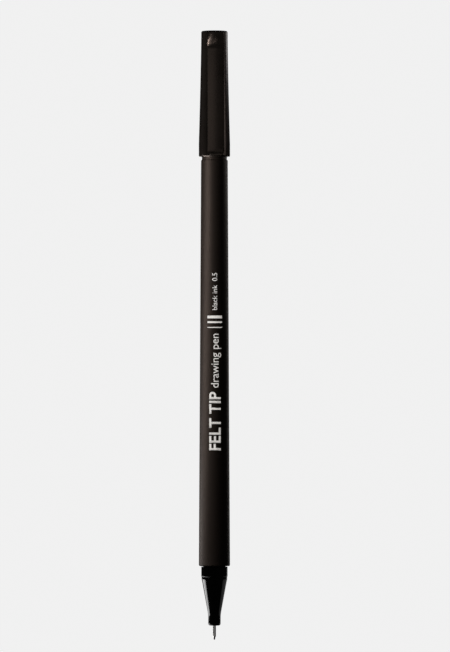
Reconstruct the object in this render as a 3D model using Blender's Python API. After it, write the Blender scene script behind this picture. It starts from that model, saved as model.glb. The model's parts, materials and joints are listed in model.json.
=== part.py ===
"""Fine-line felt tip pen, lying on a surface with its cap posted on the rear end.

Frame: metres, +Z up. The pen's axis runs along Y, with the writing tip towards -Y and the clip up.
The origin is under the middle of the pen, on the surface it lies on.
A station is a distance along the pen's axis from the writing tip.
A depth is a distance into the cap from its mouth.
Round pieces are turned with flat facets whose middles lie at the radius given, one of them straight down.
"""

import math

import bmesh
import bpy
from mathutils import Matrix, Vector

MM = 0.001

FACETS = 24
MERGE_DISTANCE = 0.002 * MM

# Clearances
SEAT_GAP = 0.20 * MM  # between faces that rest on each other
PRESS_GAP = 0.10 * MM  # radial, between pressed or sliding round fits
NIB_GAP = 0.06 * MM  # radial, between the fibre, its sleeve and the sleeve's hole
CLIP_GAP = 0.30 * MM  # around the clip's root, which rocks in its slot

# Barrel: a tapered tube with a narrower neck at its rear, where the cap is posted
BARREL_BODY_LENGTH = 117.1 * MM
BARREL_FRONT_DIAMETER = 9.0 * MM
BARREL_REAR_DIAMETER = 7.7 * MM
BARREL_EDGE_RADIUS = 0.35 * MM
BARREL_BORE_DIAMETER = 5.7 * MM
SOCKET_DIAMETER = 6.7 * MM
SOCKET_DEPTH = 13.0 * MM
POSTING_NECK_DIAMETER = 7.2 * MM
POSTING_NECK_LENGTH = 12.4 * MM

# Barrel end plug
PLUG_FLANGE_THICKNESS = 1.2 * MM
PLUG_EDGE_RADIUS = 0.3 * MM
PLUG_SPIGOT_LENGTH = 6.0 * MM
PLUG_WALL = 0.9 * MM

# Front section: nose, cone, shoulder and neck in front of the barrel, and a spigot inside it
NOSE_DIAMETER = 3.6 * MM
NOSE_LENGTH = 3.2 * MM
NOSE_EDGE_RADIUS = 0.5 * MM
NOSE_HOLE_DIAMETER = 1.5 * MM
NOSE_HOLE_LENGTH = 1.6 * MM
CONE_LENGTH = 9.3 * MM
CONE_FILLET_LENGTH = 0.5 * MM
SHOULDER_LENGTH = 1.6 * MM
SHOULDER_DROP = 0.20 * MM
NECK_DIAMETER = 7.6 * MM
NECK_LENGTH = 2.9 * MM
NECK_STEP = 0.10 * MM
SPIGOT_LENGTH = 11.5 * MM
SPIGOT_WALL = 0.8 * MM

# Writing point: fibre rod in a steel sleeve, held by a bush inside the section's nose
FIBRE_DIAMETER = 0.46 * MM
FIBRE_EXPOSED = 0.7 * MM
SLEEVE_WALL = 0.15 * MM
SLEEVE_EXPOSED = 3.4 * MM
SLEEVE_HELD = 7.5 * MM
SLEEVE_FRONT_TAPER = 0.3 * MM
HOLDER_DIAMETER = 2.2 * MM
HOLDER_LENGTH = 9.8 * MM
HOLDER_FLANGE_DIAMETER = 4.2 * MM
HOLDER_FLANGE_LENGTH = 1.6 * MM

# Ink path
WICK_DIAMETER = 1.5 * MM
WICK_LENGTH = 27.0 * MM
WICK_POINT_LENGTH = 2.0 * MM
RESERVOIR_DIAMETER = 4.9 * MM
WRAP_THICKNESS = 0.12 * MM

# Cap: a flared shell, with the inner cap that seals on the nose and the crown that closes its top
CAP_LENGTH = 36.3 * MM
CAP_MOUTH_DIAMETER = 9.0 * MM
CAP_TOP_DIAMETER = 7.6 * MM
CAP_LIP_LENGTH = 3.8 * MM
CAP_FLARE_POWER = 1.35
CAP_FLARE_STEPS = 8
CAP_EDGE_RADIUS = 0.45 * MM
CAP_MOUTH_STANDOFF = 0.9 * MM  # from the barrel's shoulder to the posted cap's mouth
CAP_MOUTH_WALL = 0.6 * MM
CAP_LINER_BORE_DIAMETER = 6.1 * MM
INNER_CAP_LENGTH = 10.0 * MM
INNER_CAP_FUNNEL = 1.0 * MM
INNER_CAP_SEAT_LENGTH = 2.9 * MM
INNER_CAP_CHAMBER_DIAMETER = 2.6 * MM
INNER_CAP_END_WALL = 1.2 * MM
CROWN_DISC_DIAMETER = 6.4 * MM
CROWN_DISC_THICKNESS = 1.2 * MM
CROWN_RECESS = 0.25 * MM
CROWN_SPIGOT_LENGTH = 4.0 * MM
CROWN_VENT_DIAMETER = 1.2 * MM

# Clip
CLIP_TURN = math.radians(4.0)  # about the pen's axis, from straight up towards +X
CLIP_WIDTH = 4.8 * MM
CLIP_THICKNESS = 1.0 * MM
CLIP_STANDOFF = 0.9 * MM
CLIP_TOP_INSET = 0.4 * MM
CLIP_TOP_HEIGHT = 0.45 * MM  # of the ramp's start above the cap
CLIP_END_INSET = 0.3 * MM
CLIP_RAMP_LENGTH = 4.3 * MM
CLIP_END_CORNER = 1.3 * MM
CLIP_END_ROUND = 0.8 * MM
CLIP_BEAD_RADIUS = 0.7 * MM
CLIP_BEAD_FILLET = 0.4 * MM
CLIP_LUG_LENGTH = 2.0 * MM
CLIP_LUG_WIDTH = 2.6 * MM
CLIP_LUG_DEPTH = 0.5 * MM
CLIP_ARC_STEPS = 5

# Stations, front to rear
SLEEVE_FRONT = FIBRE_EXPOSED
NOSE_FRONT = SLEEVE_FRONT + SLEEVE_EXPOSED
CONE_FRONT = NOSE_FRONT + NOSE_LENGTH
SHOULDER_FRONT = CONE_FRONT + CONE_LENGTH
NECK_FRONT = SHOULDER_FRONT + SHOULDER_LENGTH
BARREL_FRONT = NECK_FRONT + NECK_LENGTH + SEAT_GAP
BARREL_SHOULDER = BARREL_FRONT + BARREL_BODY_LENGTH
BARREL_REAR = BARREL_SHOULDER + POSTING_NECK_LENGTH
PLUG_REAR = BARREL_REAR + SEAT_GAP + PLUG_FLANGE_THICKNESS
PLUG_FRONT = BARREL_REAR - PLUG_SPIGOT_LENGTH
SPIGOT_REAR = BARREL_FRONT + SPIGOT_LENGTH
SLEEVE_REAR = NOSE_FRONT + SLEEVE_HELD
HOLDER_FRONT = NOSE_FRONT + NOSE_HOLE_LENGTH + SEAT_GAP
HOLDER_REAR = HOLDER_FRONT + HOLDER_LENGTH
HOLDER_FLANGE_FRONT = HOLDER_REAR - HOLDER_FLANGE_LENGTH
WICK_FRONT = SLEEVE_REAR + SEAT_GAP
WICK_REAR = WICK_FRONT + WICK_LENGTH
RESERVOIR_FRONT = SPIGOT_REAR + SEAT_GAP
RESERVOIR_REAR = PLUG_FRONT - SEAT_GAP
CAP_MOUTH = BARREL_SHOULDER + CAP_MOUTH_STANDOFF
OVERALL_LENGTH = CAP_MOUTH + CAP_LENGTH

# Depths in the cap
POSTED_DEPTH = PLUG_REAR - CAP_MOUTH
POSTING_BORE_DEPTH = POSTED_DEPTH + SEAT_GAP
INNER_CAP_MOUTH = POSTING_BORE_DEPTH + SEAT_GAP
CROWN_DISC_FRONT = CAP_LENGTH - CROWN_RECESS - CROWN_DISC_THICKNESS
CLIP_TOP = CAP_LENGTH - CLIP_TOP_INSET
CLIP_RAMP_FOOT = CLIP_TOP - CLIP_RAMP_LENGTH
CLIP_HINGE_DEPTH = CLIP_TOP - CLIP_RAMP_LENGTH / 2

AXIS_HEIGHT = max(BARREL_FRONT_DIAMETER, CAP_MOUTH_DIAMETER) / 2


def material(name, colour, roughness, metallic=0.0, coat=0.0):
    """A Principled material of one colour."""
    made = bpy.data.materials.new(name)
    made.use_nodes = True
    made.diffuse_color = (*colour, 1.0)
    shader = made.node_tree.nodes["Principled BSDF"]
    shader.inputs["Base Color"].default_value = (*colour, 1.0)
    shader.inputs["Roughness"].default_value = roughness
    shader.inputs["Metallic"].default_value = metallic
    shader.inputs["Coat Weight"].default_value = coat
    return made


def empty(name, location, parent=None):
    """An empty that carries the pieces of one body."""
    made = bpy.data.objects.new(name, None)
    made.empty_display_size = 10 * MM
    made.location = location
    made.parent = parent
    bpy.context.scene.collection.objects.link(made)
    return made


def add_object(name, bm, parent, surface=None):
    """Close a bmesh into a smooth-shaded object under its parent."""
    bmesh.ops.remove_doubles(bm, verts=bm.verts, dist=MERGE_DISTANCE)
    bmesh.ops.recalc_face_normals(bm, faces=bm.faces)
    mesh = bpy.data.meshes.new(name)
    bm.to_mesh(mesh)
    bm.free()
    mesh.shade_smooth()
    mesh.set_sharp_from_angle(angle=math.radians(30))
    if surface:
        mesh.materials.append(surface)
    made = bpy.data.objects.new(name, mesh)
    made.parent = parent
    bpy.context.scene.collection.objects.link(made)
    return made


def turned(name, outline, parent, surface=None):
    """Turn a (radius, station) outline about the parent's Y axis.

    An outline that starts and ends on the axis makes a solid piece, and any other closes on itself as a tube.
    """
    flat_factor = math.cos(math.pi / FACETS)
    bm = bmesh.new()
    points = [bm.verts.new((radius / flat_factor, station, 0.0)) for radius, station in outline]
    edges = [bm.edges.new(pair) for pair in zip(points, points[1:])]
    on_axis = outline[0][0] == 0.0 and outline[-1][0] == 0.0
    if not on_axis:
        edges.append(bm.edges.new((points[-1], points[0])))
    half_facet = Matrix.Rotation(math.pi / FACETS, 3, "Y")
    bmesh.ops.rotate(bm, verts=points, cent=(0, 0, 0), matrix=half_facet)
    bmesh.ops.spin(
        bm,
        geom=points + edges,
        cent=(0, 0, 0),
        axis=(0, 1, 0),
        angle=2 * math.pi,
        steps=FACETS,
        use_merge=True,
    )
    return add_object(name, bm, parent, surface)


def extruded(name, outline, axis, half_width, parent, surface=None):
    """Extrude a closed outline both ways along X (outline in Y, Z) or along Z (outline in X, Y)."""
    bm = bmesh.new()
    if axis == "X":
        points = [bm.verts.new((-half_width, first, second)) for first, second in outline]
        path = Vector((2 * half_width, 0, 0))
    else:
        points = [bm.verts.new((first, second, -half_width)) for first, second in outline]
        path = Vector((0, 0, 2 * half_width))
    face = bm.faces.new(points)
    far_side = bmesh.ops.extrude_face_region(bm, geom=[face])["geom"]
    bmesh.ops.translate(bm, vec=path, verts=[v for v in far_side if isinstance(v, bmesh.types.BMVert)])
    return add_object(name, bm, parent, surface)


def block(name, low, high, parent):
    """A box between two corners."""
    outline = [(low[1], low[2]), (high[1], low[2]), (high[1], high[2]), (low[1], high[2])]
    made = extruded(name, outline, "X", (high[0] - low[0]) / 2, parent)
    made.location.x = (high[0] + low[0]) / 2
    return made


def boolean(target, tool, operation):
    """Cut, join or keep the overlap of a piece with a hidden tool."""
    tool.hide_render = True
    tool.display_type = "WIRE"
    modifier = target.modifiers.new(tool.name, "BOOLEAN")
    modifier.operation = operation
    modifier.solver = "EXACT"
    modifier.object = tool


def arc(first, second, radius, start, end, steps=3):
    """Points of an arc about (first, second), its angles in degrees from the first axis to the second."""
    angles = [math.radians(start + (end - start) * step / steps) for step in range(steps + 1)]
    return [(first + radius * math.cos(a), second + radius * math.sin(a)) for a in angles]


def cap_radius(depth):
    """Outer radius of the cap at a depth: a straight lip, then a flare that eases towards the top."""
    share = min(1.0, (CAP_LENGTH - depth) / (CAP_LENGTH - CAP_LIP_LENGTH))
    top = CAP_TOP_DIAMETER / 2
    return top + (CAP_MOUTH_DIAMETER / 2 - top) * share**CAP_FLARE_POWER


def build_barrel(pen):
    """Moulded barrel with a soft matt coating: socket in front, long ink bore, posting neck behind."""
    matt = material("barrel_soft_touch", (0.046, 0.036, 0.031), 0.62)
    front = BARREL_FRONT_DIAMETER / 2
    rear = BARREL_REAR_DIAMETER / 2
    neck = POSTING_NECK_DIAMETER / 2
    bore = BARREL_BORE_DIAMETER / 2
    socket = SOCKET_DIAMETER / 2
    edge = BARREL_EDGE_RADIUS
    outline = [(socket, BARREL_FRONT)]
    outline += arc(front - edge, BARREL_FRONT + edge, edge, -90, 0)
    outline += arc(rear - edge, BARREL_SHOULDER - edge, edge, 0, 90)
    outline += [(neck, BARREL_SHOULDER), (neck, BARREL_REAR), (bore, BARREL_REAR)]
    outline += [(bore, BARREL_FRONT + SOCKET_DEPTH), (socket, BARREL_FRONT + SOCKET_DEPTH)]
    turned("barrel", outline, pen, matt)


def build_end_plug(pen):
    """Hollow plug pressed into the rear of the barrel, with a flange as wide as the posting neck."""
    plain = material("end_plug_plastic", (0.02, 0.018, 0.016), 0.4)
    flange = POSTING_NECK_DIAMETER / 2
    spigot = BARREL_BORE_DIAMETER / 2 - PRESS_GAP
    edge = PLUG_EDGE_RADIUS
    outline = [(spigot - PLUG_WALL, PLUG_FRONT), (spigot, PLUG_FRONT), (spigot, BARREL_REAR + SEAT_GAP)]
    outline += [(flange, BARREL_REAR + SEAT_GAP)]
    outline += arc(flange - edge, PLUG_REAR - edge, edge, 0, 90)
    outline += [(0.0, PLUG_REAR)]
    outline = [(0.0, BARREL_REAR), (spigot - PLUG_WALL, BARREL_REAR)] + outline
    turned("barrel_end_plug", outline, pen, plain)


def build_front_section(pen):
    """Glossy nose, cone, shoulder, neck and spigot, bored from behind for the nib holder and the wick."""
    gloss = material("section_gloss", (0.006, 0.006, 0.006), 0.12, coat=0.5)
    nose = NOSE_DIAMETER / 2
    neck = NECK_DIAMETER / 2
    hole = NOSE_HOLE_DIAMETER / 2
    spigot = SOCKET_DIAMETER / 2 - PRESS_GAP
    holder_bore = HOLDER_DIAMETER / 2 + PRESS_GAP
    holder_seat = HOLDER_FLANGE_FRONT - SEAT_GAP
    rear_bore = spigot - SPIGOT_WALL
    cone_rear = neck - NECK_STEP - SHOULDER_DROP
    fillet_rise = (cone_rear - nose) * CONE_FILLET_LENGTH / CONE_LENGTH
    outline = [(hole, NOSE_FRONT)]
    outline += arc(nose - NOSE_EDGE_RADIUS, NOSE_FRONT + NOSE_EDGE_RADIUS, NOSE_EDGE_RADIUS, -90, 0)
    outline += [(nose, CONE_FRONT - CONE_FILLET_LENGTH)]
    outline += [(nose + fillet_rise, CONE_FRONT + CONE_FILLET_LENGTH)]
    outline += [(cone_rear, SHOULDER_FRONT), (neck - NECK_STEP, SHOULDER_FRONT + SHOULDER_LENGTH / 2)]
    outline += [(neck - NECK_STEP, NECK_FRONT), (neck, NECK_FRONT + NECK_STEP)]
    outline += [(neck, NECK_FRONT + NECK_LENGTH)]
    outline += [(spigot, NECK_FRONT + NECK_LENGTH), (spigot, SPIGOT_REAR), (rear_bore, SPIGOT_REAR)]
    outline += [(rear_bore, holder_seat), (holder_bore, holder_seat)]
    outline += [(holder_bore, NOSE_FRONT + NOSE_HOLE_LENGTH), (hole, NOSE_FRONT + NOSE_HOLE_LENGTH)]
    turned("front_section", outline, pen, gloss)


def build_writing_point(pen):
    """Nib holder, steel sleeve, and the fibre rod that writes."""
    bush = material("nib_holder_plastic", (0.75, 0.74, 0.7), 0.45)
    steel = material("sleeve_steel", (0.62, 0.61, 0.59), 0.25, metallic=1.0)
    fibre = material("nib_fibre", (0.03, 0.03, 0.032), 0.7)
    fibre_radius = FIBRE_DIAMETER / 2
    sleeve_bore = fibre_radius + NIB_GAP
    sleeve = sleeve_bore + SLEEVE_WALL
    sleeve_hole = sleeve + NIB_GAP
    holder = HOLDER_DIAMETER / 2
    flange = HOLDER_FLANGE_DIAMETER / 2
    wick_hole = WICK_DIAMETER / 2 + PRESS_GAP

    outline = [(sleeve_hole, HOLDER_FRONT), (holder, HOLDER_FRONT), (holder, HOLDER_FLANGE_FRONT)]
    outline += [(flange, HOLDER_FLANGE_FRONT), (flange, HOLDER_REAR), (wick_hole, HOLDER_REAR)]
    outline += [(wick_hole, WICK_FRONT - SEAT_GAP / 2), (sleeve_hole, WICK_FRONT - SEAT_GAP / 2)]
    turned("nib_holder", outline, pen, bush)

    outline = [(sleeve_bore, SLEEVE_FRONT), (sleeve - SLEEVE_WALL / 2, SLEEVE_FRONT)]
    outline += [(sleeve, SLEEVE_FRONT + SLEEVE_FRONT_TAPER), (sleeve, SLEEVE_REAR)]
    outline += [(sleeve_bore, SLEEVE_REAR)]
    turned("nib_sleeve", outline, pen, steel)

    outline = [(0.0, 0.0)]
    outline += arc(0.0, fibre_radius, fibre_radius, -60, 0)
    outline += [(fibre_radius, SLEEVE_REAR), (0.0, SLEEVE_REAR)]
    turned("fibre_nib", outline, pen, fibre)


def build_ink_path(pen):
    """Wick, fibre reservoir and the film round it."""
    felt = material("wick_felt", (0.05, 0.05, 0.055), 0.9)
    soaked = material("reservoir_fibre", (0.03, 0.03, 0.035), 0.95)
    film = material("reservoir_film", (0.7, 0.72, 0.74), 0.2)
    wick = WICK_DIAMETER / 2
    wick_hole = wick + PRESS_GAP
    reservoir = RESERVOIR_DIAMETER / 2
    film_bore = reservoir + NIB_GAP

    outline = [(0.0, WICK_FRONT), (wick, WICK_FRONT), (wick, WICK_REAR - WICK_POINT_LENGTH), (0.0, WICK_REAR)]
    turned("feed_wick", outline, pen, felt)

    hole_end = WICK_REAR + SEAT_GAP
    outline = [(0.0, hole_end), (wick_hole, hole_end - WICK_POINT_LENGTH), (wick_hole, RESERVOIR_FRONT)]
    outline += [(reservoir, RESERVOIR_FRONT), (reservoir, RESERVOIR_REAR), (0.0, RESERVOIR_REAR)]
    turned("ink_reservoir", outline, pen, soaked)

    outline = [(film_bore, RESERVOIR_FRONT), (film_bore + WRAP_THICKNESS, RESERVOIR_FRONT)]
    outline += [(film_bore + WRAP_THICKNESS, RESERVOIR_REAR), (film_bore, RESERVOIR_REAR)]
    turned("reservoir_wrap", outline, pen, film)


def build_cap(cap):
    """Cap shell with the clip's slot, the inner cap that seals the nib, and the vented crown."""
    satin = material("cap_plastic", (0.014, 0.011, 0.009), 0.3)
    liner = material("inner_cap_plastic", (0.03, 0.03, 0.03), 0.5)
    crown_plastic = material("crown_plastic", (0.012, 0.01, 0.009), 0.35)
    mouth = CAP_MOUTH_DIAMETER / 2
    edge = CAP_EDGE_RADIUS
    mouth_bore = mouth - CAP_MOUTH_WALL
    posting_bore = POSTING_NECK_DIAMETER / 2 + PRESS_GAP
    liner_bore = CAP_LINER_BORE_DIAMETER / 2
    disc_bore = CROWN_DISC_DIAMETER / 2 + PRESS_GAP

    outline = [(mouth_bore, 0.0)]
    outline += arc(mouth - edge, edge, edge, -90, 0)
    flare_end = CAP_LENGTH - edge
    for step in range(CAP_FLARE_STEPS + 1):
        depth = CAP_LIP_LENGTH + (flare_end - CAP_LIP_LENGTH) * step / CAP_FLARE_STEPS
        outline.append((cap_radius(depth), depth))
    outline += arc(cap_radius(flare_end) - edge, flare_end, edge, 0, 90)[1:]
    outline += [(disc_bore, CAP_LENGTH), (disc_bore, CROWN_DISC_FRONT - SEAT_GAP)]
    outline += [(liner_bore, CROWN_DISC_FRONT - SEAT_GAP), (liner_bore, POSTING_BORE_DEPTH)]
    outline += [(posting_bore, POSTING_BORE_DEPTH)]
    shell = turned("cap_shell", outline, cap, satin)

    seat = NOSE_DIAMETER / 2 + PRESS_GAP
    chamber = INNER_CAP_CHAMBER_DIAMETER / 2
    inner = liner_bore - PRESS_GAP
    funnel_end = INNER_CAP_MOUTH + INNER_CAP_FUNNEL
    seat_end = funnel_end + INNER_CAP_SEAT_LENGTH
    inner_end = INNER_CAP_MOUTH + INNER_CAP_LENGTH
    chamber_end = inner_end - INNER_CAP_END_WALL
    outline = [(0.0, chamber_end), (chamber, chamber_end), (chamber, seat_end), (seat, seat_end)]
    outline += [(seat, funnel_end), (seat + INNER_CAP_FUNNEL / 2, INNER_CAP_MOUTH), (inner, INNER_CAP_MOUTH)]
    outline += [(inner, inner_end), (0.0, inner_end)]
    turned("inner_cap", outline, cap, liner)

    vent = CROWN_VENT_DIAMETER / 2
    disc = CROWN_DISC_DIAMETER / 2
    spigot_front = CROWN_DISC_FRONT - CROWN_SPIGOT_LENGTH
    disc_rear = CAP_LENGTH - CROWN_RECESS
    outline = [(vent, spigot_front), (inner, spigot_front), (inner, CROWN_DISC_FRONT)]
    outline += [(disc, CROWN_DISC_FRONT), (disc, disc_rear), (vent, disc_rear)]
    turned("cap_crown", outline, cap, crown_plastic)
    return shell


def clip_side(root_height, end_height):
    """The clip's side outline in (depth, height above the pen's axis), before its root is fitted."""
    end = CLIP_END_INSET
    bead = end + CLIP_BEAD_RADIUS
    bead_height = cap_radius(bead) + CLIP_GAP + CLIP_BEAD_RADIUS
    root_top = cap_radius(CLIP_TOP)
    outline = [(CLIP_TOP, root_top - CLIP_THICKNESS), (CLIP_TOP, root_top + CLIP_TOP_HEIGHT)]
    outline += [(CLIP_RAMP_FOOT, root_height)]
    outline += arc(end + CLIP_END_ROUND, end_height - CLIP_END_ROUND, CLIP_END_ROUND, 90, 180, CLIP_ARC_STEPS)
    outline += arc(bead, bead_height, CLIP_BEAD_RADIUS, 180, 360, CLIP_ARC_STEPS)
    outline += [(bead + CLIP_BEAD_RADIUS + CLIP_BEAD_FILLET, end_height - CLIP_THICKNESS)]
    outline += [(CLIP_RAMP_FOOT - CLIP_THICKNESS, root_height - CLIP_THICKNESS)]
    outline += [(CLIP_RAMP_FOOT, cap_radius(CLIP_RAMP_FOOT) - CLIP_THICKNESS)]
    return outline


def build_clip(cap, shell):
    """Springy clip: its lug sits in a slot of the shell, and it rocks about the middle of its root."""
    satin = material("clip_plastic", (0.018, 0.015, 0.013), 0.28)
    root_height = cap_radius(CLIP_RAMP_FOOT) + CLIP_STANDOFF + CLIP_THICKNESS
    end_height = CAP_MOUTH_DIAMETER / 2 + CLIP_STANDOFF + CLIP_THICKNESS
    hinge_height = cap_radius(CLIP_HINGE_DEPTH) + CLIP_THICKNESS / 2

    turn = empty("clip_turn", (0, 0, 0), cap)
    turn.rotation_euler.y = CLIP_TURN
    hinge = Vector((0, CLIP_HINGE_DEPTH, hinge_height))

    side = [(depth - hinge.y, height - hinge.z) for depth, height in clip_side(root_height, end_height)]
    clip = extruded("cap_clip", side, "X", CLIP_WIDTH, turn, satin)
    clip.location = hinge

    half = CLIP_WIDTH / 2
    corner = CLIP_END_CORNER
    corner_depth = CLIP_END_INSET + corner
    plan = [(half, CLIP_TOP), (-half, CLIP_TOP)]
    plan += arc(corner - half, corner_depth, corner, 180, 270, CLIP_ARC_STEPS)
    plan += arc(half - corner, corner_depth, corner, 270, 360, CLIP_ARC_STEPS)
    plan_tool = extruded("clip_plan_tool", plan, "Z", 2 * end_height, turn)

    saddle_start = CLIP_RAMP_FOOT - CLIP_RAMP_LENGTH
    clearance = [(0.0, saddle_start), (cap_radius(saddle_start) + CLIP_GAP, saddle_start)]
    clearance += [(cap_radius(CAP_LENGTH) + CLIP_GAP, CAP_LENGTH), (0.0, CAP_LENGTH)]
    saddle_tool = turned("clip_saddle_tool", clearance, turn)

    lug_low = (-CLIP_LUG_WIDTH / 2, hinge.y - CLIP_LUG_LENGTH / 2, cap_radius(hinge.y) - CLIP_LUG_DEPTH)
    lug_high = (CLIP_LUG_WIDTH / 2, hinge.y + CLIP_LUG_LENGTH / 2, hinge.z)
    lug_tool = block("clip_lug_tool", lug_low, lug_high, turn)
    around = Vector((CLIP_GAP, CLIP_GAP, CLIP_GAP))
    slot_tool = block("clip_slot_tool", Vector(lug_low) - around, Vector(lug_high) + around, turn)

    boolean(clip, plan_tool, "INTERSECT")
    boolean(clip, saddle_tool, "DIFFERENCE")
    boolean(clip, lug_tool, "UNION")
    boolean(shell, slot_tool, "DIFFERENCE")


def main():
    for old in list(bpy.data.objects):
        bpy.data.objects.remove(old)
    pen = empty("pen_axis", (0, -OVERALL_LENGTH / 2, AXIS_HEIGHT))
    cap = empty("cap_axis", (0, CAP_MOUTH, 0), pen)
    build_barrel(pen)
    build_end_plug(pen)
    build_front_section(pen)
    build_writing_point(pen)
    build_ink_path(pen)
    shell = build_cap(cap)
    build_clip(cap, shell)


main()
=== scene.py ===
"""Fine-line felt tip pen with its cap posted on the rear end, lying on a pale surface."""

import json
import math

import bmesh
import bpy
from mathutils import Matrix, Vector

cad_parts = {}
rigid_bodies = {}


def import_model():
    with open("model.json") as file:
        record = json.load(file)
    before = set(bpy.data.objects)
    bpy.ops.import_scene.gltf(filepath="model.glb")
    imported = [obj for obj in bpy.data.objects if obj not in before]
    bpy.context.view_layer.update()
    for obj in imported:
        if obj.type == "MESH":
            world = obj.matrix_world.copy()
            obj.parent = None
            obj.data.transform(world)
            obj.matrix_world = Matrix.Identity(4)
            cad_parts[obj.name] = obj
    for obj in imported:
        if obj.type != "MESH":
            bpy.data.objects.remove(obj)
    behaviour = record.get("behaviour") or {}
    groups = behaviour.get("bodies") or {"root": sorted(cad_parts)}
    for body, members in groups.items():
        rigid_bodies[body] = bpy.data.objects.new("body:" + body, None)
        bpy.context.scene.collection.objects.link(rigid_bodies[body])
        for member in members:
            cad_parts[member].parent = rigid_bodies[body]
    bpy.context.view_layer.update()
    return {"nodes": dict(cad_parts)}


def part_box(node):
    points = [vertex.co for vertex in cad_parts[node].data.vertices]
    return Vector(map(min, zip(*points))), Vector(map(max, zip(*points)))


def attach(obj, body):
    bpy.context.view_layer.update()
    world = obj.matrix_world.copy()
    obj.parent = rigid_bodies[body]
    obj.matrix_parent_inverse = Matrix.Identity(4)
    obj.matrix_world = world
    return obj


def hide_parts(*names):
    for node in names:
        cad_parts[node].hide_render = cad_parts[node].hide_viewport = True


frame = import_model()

MM = 0.001

# ---------------------------------------------------------------------------------------------------------
# Barrel: a long ABS tube, moulded in one piece and sprayed with a matt soft-touch coating.
# It is thickest in front, where the nose section is pushed into it. Its rear end steps down to a
# narrower neck that the cap is posted on.
# ---------------------------------------------------------------------------------------------------------
ROUND_SIDES = 128
AXIS_Z = (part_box("barrel")[0].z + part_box("barrel")[1].z) / 2
BARREL_FRONT_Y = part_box("barrel")[0].y
BARREL_REAR_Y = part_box("barrel")[1].y
BARREL_FRONT_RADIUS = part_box("barrel")[1].x
BARREL_REAR_RADIUS = 3.85 * MM
BARREL_BODY_LENGTH = 117.1 * MM
BARREL_SHOULDER_Y = BARREL_FRONT_Y + BARREL_BODY_LENGTH
BARREL_NECK_RADIUS = 3.6 * MM
BARREL_BORE_RADIUS = 2.85 * MM
BARREL_SOCKET_RADIUS = 3.35 * MM
BARREL_SOCKET_DEPTH = 13.0 * MM
EDGE_TOLERANCE = 0.005 * MM


def deselect_all():
    """Leave edit mode, with nothing selected."""
    if bpy.context.object and bpy.context.object.mode == "EDIT":
        bpy.ops.object.mode_set(mode="OBJECT")
    bpy.ops.object.select_all(action="DESELECT")


def select_ring(piece, y, radius):
    """In edit mode, select only the edges of the ring at this place along the pen and this radius."""
    mesh = bmesh.from_edit_mesh(piece.data)
    bpy.ops.mesh.select_mode(type="EDGE")
    bpy.ops.mesh.select_all(action="DESELECT")
    for edge in mesh.edges:
        places = [(v.co.y, math.hypot(v.co.x, v.co.z - AXIS_Z)) for v in edge.verts]
        misses = [max(abs(place_y - y), abs(place_radius - radius)) for place_y, place_radius in places]
        edge.select_set(max(misses) < EDGE_TOLERANCE)
    mesh.select_flush_mode()
    bmesh.update_edit_mesh(piece.data)


def with_support(rings, closed_tube):
    """Add a ring close to both sides of each rounded edge, so that straight walls keep their own shading."""
    made = []
    for index, ring in enumerate(rings):
        y, radius, rounding = ring
        for step in (-1, 1):
            inside = closed_tube or 0 <= index + step < len(rings)
            other_y, other_radius, _ = rings[(index + step) % len(rings)]
            length = math.hypot(other_y - y, other_radius - radius)
            if inside and rounding and length > 4 * rounding:
                share = 1.25 * rounding / length
                made.append((y + (other_y - y) * share, radius + (other_radius - radius) * share, 0))
            if step == -1:
                made.append(ring)
    return made


def turned_piece(name, rings, closed_tube, soft_angle=40):
    """Extrude a ring of edges along the pen's axis. Each ring is (y, radius, rounding of its edge).

    A closed tube joins its last ring to its first. Otherwise both ends are filled with a flat face.
    """
    deselect_all()
    rings = with_support(rings, closed_tube)
    first_y, first_radius, _ = rings[0]
    bpy.ops.mesh.primitive_circle_add(
        vertices=ROUND_SIDES,
        radius=first_radius,
        fill_type="NOTHING",
        location=(0, first_y, AXIS_Z),
        rotation=(math.pi / 2, 0, 0),
    )
    piece = bpy.context.object
    piece.name = name
    bpy.ops.object.transform_apply(location=True, rotation=True, scale=True)
    bpy.ops.object.mode_set(mode="EDIT")
    bpy.ops.mesh.select_mode(type="EDGE")
    bpy.ops.mesh.select_all(action="SELECT")
    if not closed_tube:
        bpy.ops.mesh.edge_face_add()
        select_ring(piece, first_y, first_radius)
    y, radius = first_y, first_radius
    for next_y, next_radius, _ in rings[1:]:
        bpy.ops.mesh.extrude_edges_move(TRANSFORM_OT_translate={"value": (0, next_y - y, 0)})
        ratio = next_radius / radius
        bpy.ops.transform.resize(value=(ratio, 1, ratio), center_override=(0, next_y, AXIS_Z))
        y, radius = next_y, next_radius
    if closed_tube:
        mesh = bmesh.from_edit_mesh(piece.data)
        bpy.ops.mesh.select_all(action="DESELECT")
        for edge in mesh.edges:
            edge.select_set(edge.is_boundary)
        mesh.select_flush_mode()
        bmesh.update_edit_mesh(piece.data)
        bpy.ops.mesh.bridge_edge_loops()
    else:
        bpy.ops.mesh.edge_face_add()
    for ring_y, ring_radius, rounding in rings:
        if rounding:
            select_ring(piece, ring_y, ring_radius)
            bpy.ops.mesh.bevel(offset=rounding, segments=5, affect="EDGES", clamp_overlap=True)
    bpy.ops.mesh.select_all(action="SELECT")
    bpy.ops.mesh.normals_make_consistent(inside=False)
    bpy.ops.object.mode_set(mode="OBJECT")
    bpy.ops.object.shade_smooth_by_angle(angle=math.radians(soft_angle))
    return piece


def new_material(name, colour, roughness):
    """A Principled material, returned with its nodes, its links and its shader."""
    made = bpy.data.materials.new(name)
    made.use_nodes = True
    nodes = made.node_tree.nodes
    shader = nodes["Principled BSDF"]
    shader.inputs["Base Color"].default_value = (*colour, 1)
    shader.inputs["Roughness"].default_value = roughness
    return made, nodes, made.node_tree.links, shader


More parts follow.
